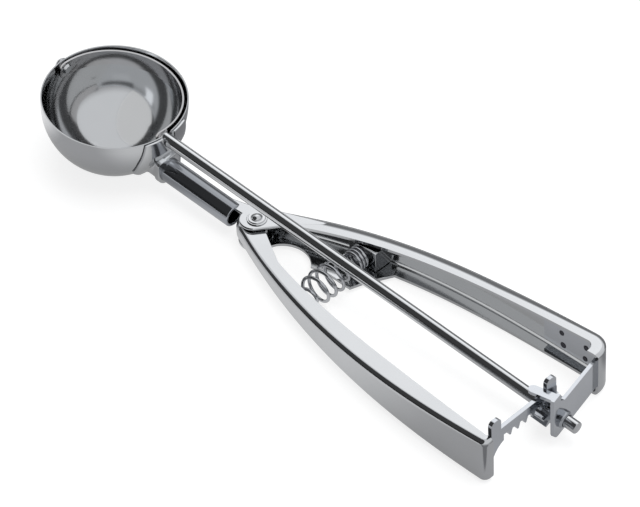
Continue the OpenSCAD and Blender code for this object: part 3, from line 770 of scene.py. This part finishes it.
# ---------------------------------------------------------------- rod and its bush
TIP_X, STUB_X, CHAMFER = 22.1, 208.8, 0.3
bm = turned(lying([(0, TIP_X), (ROD_R - CHAMFER, TIP_X), (ROD_R, TIP_X + CHAMFER), (ROD_R, 60.0),
                   (ROD_R, 120.0), (ROD_R, 170.0), (ROD_R, STUB_X - CHAMFER),
                   (ROD_R - 0.1, STUB_X - 0.08), (ROD_R - CHAMFER, STUB_X), (0, STUB_X)]),
            ROUND_STEPS, AXIS_X)
rod_bar = piece("rod_bar", bm, ROD, "rod", rod_steel, ["rod"], sharp=25)
rod_bar.visible_glossy = False

BUSH_IN, BUSH_START = 2.35, 201.0
bm = turned(lying([(BUSH_IN, BUSH_START), (3.0, BUSH_START), (3.1, 203.2), (3.1, 203.6),
                   (2.9, 203.8), (2.6, 204.15), (BUSH_IN, 204.23), (BUSH_IN, BUSH_START)]),
            ROUND_STEPS, AXIS_X)
piece("rod_bush_turned", bm, ROD, "frame", bush_steel, ["rod_bush"])

# ---------------------------------------------------------------- scraper
BAND_OUT, BAND_T, BAND_W, BAND_REST = 23.5, 0.6, 6.4, 4.0
BAND_TRIM, BAND_OVERHANG, BAND_STEPS, BAND_EDGE_STEPS = 0.4, 8, 110, 8
END_PLAY, END_POWER = 0.08, 4
half = math.degrees(math.asin(BAND_W / 2 / BAND_OUT)) - BAND_TRIM
section = (arc((0, 0), BAND_OUT, -half, half, BAND_EDGE_STEPS)
           + arc((0, 0), BAND_OUT - BAND_T, half, -half, BAND_EDGE_STEPS))
bm = turned(upright(section + section[:1]), BAND_STEPS, angle=180 + 2 * BAND_OVERHANG)
bmesh.ops.rotate(bm, verts=bm.verts,
                 matrix=Matrix.Rotation(math.radians(-BAND_OVERHANG), 4, "Z"))
for vert in bm.verts:
    if vert.co.y < 0:
        past = (vert.co.y / (BAND_W / 2 + END_PLAY)) ** END_POWER
        vert.co.z *= max(0.0, 1 - past) ** (1 / END_POWER)
band = piece("scraper_band", bm, ROD @ Matrix.Rotation(math.radians(-BAND_REST), 4, "X"), "rod",
             band_steel, ["scraper"])
cut(band, drill(PIVOT_R + PIVOT_PLAY, *PIVOT_HOLE, AXIS_X), ROD)

# ---------------------------------------------------------------- hinge
WASHER_LOW, WASHER_T, WASHER_IN, WASHER_OUT, WASHER_EASE = 10.5, 0.5, 2.42, 3.5, 0.15
FOOT_LOW, FOOT_TOP = 0.5, 1.4
head_base = WASHER_LOW + WASHER_T
HEAD = [(0, 1.3), (0.5, 1.27), (1.0, 1.15), (1.4, 0.92), (1.65, 0.6), (1.75, 0.35), (2.0, 0.22),
        (2.5, 0.2), (2.85, 0.26), (3.0, 0.12), (3.0, 0), (RIVET_R, 0)]
foot = [(RIVET_R, FOOT_TOP), (3.3, FOOT_TOP), (3.1, FOOT_LOW), (0, FOOT_LOW)]
bm = turned(upright([(radius, head_base + rise) for radius, rise in HEAD] + foot), ROUND_STEPS)
piece("hinge_rivet_turned", bm, HINGE_AXIS, "frame", rivet_steel, ["hinge_rivet"])
washer = [(WASHER_IN, WASHER_LOW), (WASHER_OUT, WASHER_LOW),
          (WASHER_OUT, head_base - WASHER_EASE), (WASHER_OUT - WASHER_EASE, head_base),
          (WASHER_IN, head_base), (WASHER_IN, WASHER_LOW)]
piece("hinge_washer_turned", turned(upright(washer), ROUND_STEPS), HINGE_AXIS, "frame",
      rivet_steel, ["hinge_washer"])

# ---------------------------------------------------------------- spring
WIRE_R, RINGS_PER_TURN, WIRE_SIDES = 0.6, 40, 5
MOVING_WEB, FIXED_WEB, SEAT_PLAY = 17.6, 14.6, 0.05
MOVING_TURNS, OPEN_COILS, FIXED_TURNS = 1, 7, 3
TURNS = MOVING_TURNS + OPEN_COILS + FIXED_TURNS
CLOSED_PITCH = 2 * WIRE_R * 1.12
SPRING_Y0 = -MOVING_WEB + WIRE_R + SEAT_PLAY
SPRING_L = FIXED_WEB - WIRE_R - SEAT_PLAY - SPRING_Y0
OPEN_PITCH = (SPRING_L - (MOVING_TURNS + FIXED_TURNS) * CLOSED_PITCH) / OPEN_COILS
SPRING_X, MOVING_Z, FIXED_Z = 100.2, 6.7, 6.9
MOVING_COIL_R, FIXED_COIL_R = 2.4, 3.7
SWELL_R, SWELL_Y, SWELL_W, SWELL_POWER = 5.3, -3.4, 7.2, 6
FIRST_ANGLE = 100


def coil_point(turn):
    """The wire's middle: closed coils at both ends, open ones between, swollen in the middle."""
    if turn < MOVING_TURNS:
        y = SPRING_Y0 + turn * CLOSED_PITCH
    elif turn > TURNS - FIXED_TURNS:
        y = SPRING_Y0 + SPRING_L - (TURNS - turn) * CLOSED_PITCH
    else:
        y = SPRING_Y0 + MOVING_TURNS * CLOSED_PITCH + (turn - MOVING_TURNS) * OPEN_PITCH
    share = (y - SPRING_Y0) / SPRING_L
    plain = MOVING_COIL_R + (FIXED_COIL_R - MOVING_COIL_R) * share
    radius = plain + (SWELL_R - plain) * math.exp(-((y - SWELL_Y) / SWELL_W) ** SWELL_POWER)
    x, z = on_circle((SPRING_X, MOVING_Z + (FIXED_Z - MOVING_Z) * share), radius,
                     FIRST_ANGLE - 360 * turn)
    return x, y, z


def tube(name, points):
    """A round wire through points, as a mesh."""
    curve = bpy.data.curves.new(name, "CURVE")
    curve.dimensions = "3D"
    curve.bevel_depth = WIRE_R
    curve.bevel_resolution = WIRE_SIDES
    curve.use_fill_caps = True
    spline = curve.splines.new("POLY")
    spline.points.add(len(points) - 1)
    for item, point in zip(spline.points, points):
        item.co = (*point, 1)
    thing = add_object(name, curve)
    mesh = evaluated_mesh(thing)
    bpy.data.objects.remove(thing)
    bpy.data.curves.remove(curve)
    return mesh


RINGS = RINGS_PER_TURN * TURNS
wire = tube("return_spring", [coil_point(TURNS * k / RINGS) for k in range(RINGS + 1)])
wire.transform(TABLE)
spring = dress("return_spring", wire, None, wire_steel, ["spring"])
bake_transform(spring)

# ---------------------------------------------------------------- floor
FLOOR_HALF, FLOOR_Z = 3.0, -0.0002
SEEN_LEVEL, ROOM_LEVEL = 0.78, 0.34
SEEN_PAPER, ROOM_PAPER = (0.34, 0.34, 0.34, 1), (0.2, 0.2, 0.21, 1)
# Strengths of the painted light and painted shade on the floor, seen only in the steel
HANDLE_PAINTED_LIGHT, FRONT_PAINTED_LIGHT, BEHIND_PAINTED_SHADE, END_PAINTED_SHADE = 0.32, 0.5, 0.75, 0.8


def add_floor():
    """A pale floor that is white to the eye and a quiet grey in the steel, with painted light and
    painted shade in that grey.
    """
    bm = bmesh.new()
    bmesh.ops.create_grid(bm, x_segments=1, y_segments=1, size=FLOOR_HALF)
    floor = add_object("floor", make_mesh("floor", bm))
    floor.location.z = FLOOR_Z
    material, graph = new_material("floor_paper")
    rays = graph.node("ShaderNodeLightPath", output="Is Camera Ray")
    seen = rays.at_least(graph.other(rays, "Is Transmission Ray"))
    place = graph.node("ShaderNodeTexCoord", output="Object")
    across = graph.node("ShaderNodeSeparateXYZ", {}, (place,), "X")
    x = (across - TABLE.translation.x) * PER_M
    y = (graph.other(across, "Y") - TABLE.translation.y) * PER_M
    # Painted light and shade on the floor that only the steel sees: painted light on the moving
    # handle's side and before the bowl, painted shade behind the scoop and outside the moving
    # handle's rear corner
    painted_light_near_handle = x.ramp(15, 45) * (1 - x.ramp(120, 175)) * y.ramp(8, -8)
    level = ROOM_LEVEL + painted_light_near_handle * HANDLE_PAINTED_LIGHT + x.ramp(-20, -45) * FRONT_PAINTED_LIGHT
    behind = (y - x * 0.14 - 4).ramp(0, 9) * x.ramp(-12, 12)
    painted_shade_past_end = x.ramp(199, 203) * y.ramp(-35, -38)
    level = level * (1 - behind * BEHIND_PAINTED_SHADE) * (1 - painted_shade_past_end * END_PAINTED_SHADE)
    level = level + (SEEN_LEVEL - level) * seen
    paper = graph.node("ShaderNodeBsdfDiffuse", {},
                       {"Color": graph.mix(seen, ROOM_PAPER, SEEN_PAPER)})
    colour = graph.node("ShaderNodeCombineColor", {}, (level, level, level))
    glow = graph.node("ShaderNodeEmission", {}, {"Color": colour, "Strength": 1.0})
    both = graph.node("ShaderNodeAddShader", {}, (paper, glow))
    graph.node("ShaderNodeOutputMaterial", {}, {"Surface": both})
    floor.data.materials.append(material)


# ---------------------------------------------------------------- room
WALL_AZIMUTH, WALL_ELEVATION, WALL_RADIUS, WALL_SOFT = 238, 42, 46, 1.5
ROOM_LOW, ROOM_RISE = 0.5, 0.38
PANEL_LEVEL, STRIP_LEVEL = 0.98, 1.9
WALL_DARK, CORNER_DARK, BAND_DARK = 0.93, 0.85, 0.75
GREEN_TINT, BLUE_TINT = 1.01, 1.03


def add_world():
    """A soft room: a bright panel behind the scoop, pale all round, and a dark wall on the left.

    The panel and the low band stand behind the scoop. The strip and the dark corner show only in
    later reflections.
    """
    world = bpy.data.worlds.new("studio")
    bpy.context.scene.world = world
    world.use_nodes = True
    graph = Graph(world.node_tree)
    direction = graph.node("ShaderNodeTexCoord", output="Generated")
    x = graph.node("ShaderNodeSeparateXYZ", {}, (direction,), "X")
    y, z = graph.other(x, "Y"), graph.other(x, "Z")
    flat = (x * x + y * y).power(0.5).at_least(0.001)

    def facing(azimuth, wide, narrow):
        """1 within narrow degrees of an azimuth, 0 beyond wide."""
        ahead = (x * cos_deg(azimuth) + y * sin_deg(azimuth)) / flat
        return ahead.ramp(cos_deg(wide), cos_deg(narrow))

    def below(full, none):
        """1 below the elevation full, 0 above none."""
        return z.ramp(sin_deg(none), sin_deg(full))

    def round_patch(azimuth, elevation, wide, narrow):
        """1 within narrow degrees of a direction, 0 beyond wide."""
        to = heading(azimuth, elevation)
        return (x * to.x + y * to.y + z * to.z).ramp(cos_deg(wide), cos_deg(narrow))

    rays = graph.node("ShaderNodeLightPath", output="Is Camera Ray")
    later = graph.other(rays, "Ray Depth").ramp(2.4, 2.6)
    room = ROOM_LOW + z.ramp(sin_deg(12), sin_deg(28)) * ROOM_RISE
    panel = facing(111, 29, 22) * below(48, 56)
    strip = facing(27, 16, 9) * (1 - below(8, 14)) * below(30, 36)
    wall = round_patch(WALL_AZIMUTH, WALL_ELEVATION, WALL_RADIUS + WALL_SOFT,
                       WALL_RADIUS - WALL_SOFT)
    dark_corner = round_patch(318, 37, 32, 20) * later
    low_band = facing(125, 50, 40) * below(24, 32)
    light = room + panel * (PANEL_LEVEL - room) + strip * later * (STRIP_LEVEL - room)
    light = (light * (1 - wall * WALL_DARK) * (1 - dark_corner * CORNER_DARK)
             * (1 - low_band * BAND_DARK))
    colour = graph.node("ShaderNodeCombineColor", {},
                        (light, light * GREEN_TINT, light * BLUE_TINT))
    colour = graph.mix(rays, colour, (1, 1, 1, 1))
    back = graph.node("ShaderNodeBackground", {}, {"Color": colour, "Strength": 1.0})
    graph.node("ShaderNodeOutputWorld", {}, {"Surface": back})


# ---------------------------------------------------------------- lights
SIDE_LEVEL = 0.8
BACK_AZIMUTH, BACK_ELEVATION, BACK_RADIUS, BACK_LEVEL = 130, 46, 15, 0.4
LAMP_AT, LAMP_SIZE, LAMP_POWER = (0.1, 0.1, 1.6), 1.2, 12


def add_lamp(name, place, size, power):
    """A square lamp that points at the origin and doesn't show in the steel."""
    data = bpy.data.lights.new(name, "AREA")
    data.shape, data.size, data.energy = "SQUARE", size, power
    lamp = add_object(name, data)
    lamp.location = place
    lamp.rotation_euler = (-Vector(place)).to_track_quat("-Z", "Y").to_euler()
    lamp.visible_glossy = False


def add_screen(name, azimuth, elevation, radius, level, receivers):
    """A round glowing screen far away that lights some pieces only."""
    group = bpy.data.collections.new(name + "_pieces")
    for thing in receivers:
        group.objects.link(thing)
    data = bpy.data.lights.new(name, "SUN")
    data.angle = math.radians(2 * radius)
    data.energy = level * math.pi * sin_deg(radius) ** 2
    lamp = add_object(name, data)
    lamp.rotation_euler = heading(azimuth, elevation).to_track_quat("Z", "Y").to_euler()
    lamp.light_linking.receiver_collection = group


add_floor()
add_world()
add_lamp("overhead_lamp", LAMP_AT, LAMP_SIZE, LAMP_POWER)
finished = [thing for thing in bpy.context.scene.objects
            if thing.type == "MESH" and thing.name not in frame["nodes"] and thing.name != "floor"]
add_screen("side_screen", WALL_AZIMUTH, WALL_ELEVATION, WALL_RADIUS, SIDE_LEVEL,
           (bowl, band, fixed_sheet))
add_screen("back_screen", BACK_AZIMUTH, BACK_ELEVATION, BACK_RADIUS, BACK_LEVEL,
           [thing for thing in finished if thing not in (bowl, band, shank)])
bpy.context.scene.view_settings.view_transform = "Standard"

for obj in frame["nodes"].values():
    for slot in obj.material_slots:
        slot.material = handle_steel
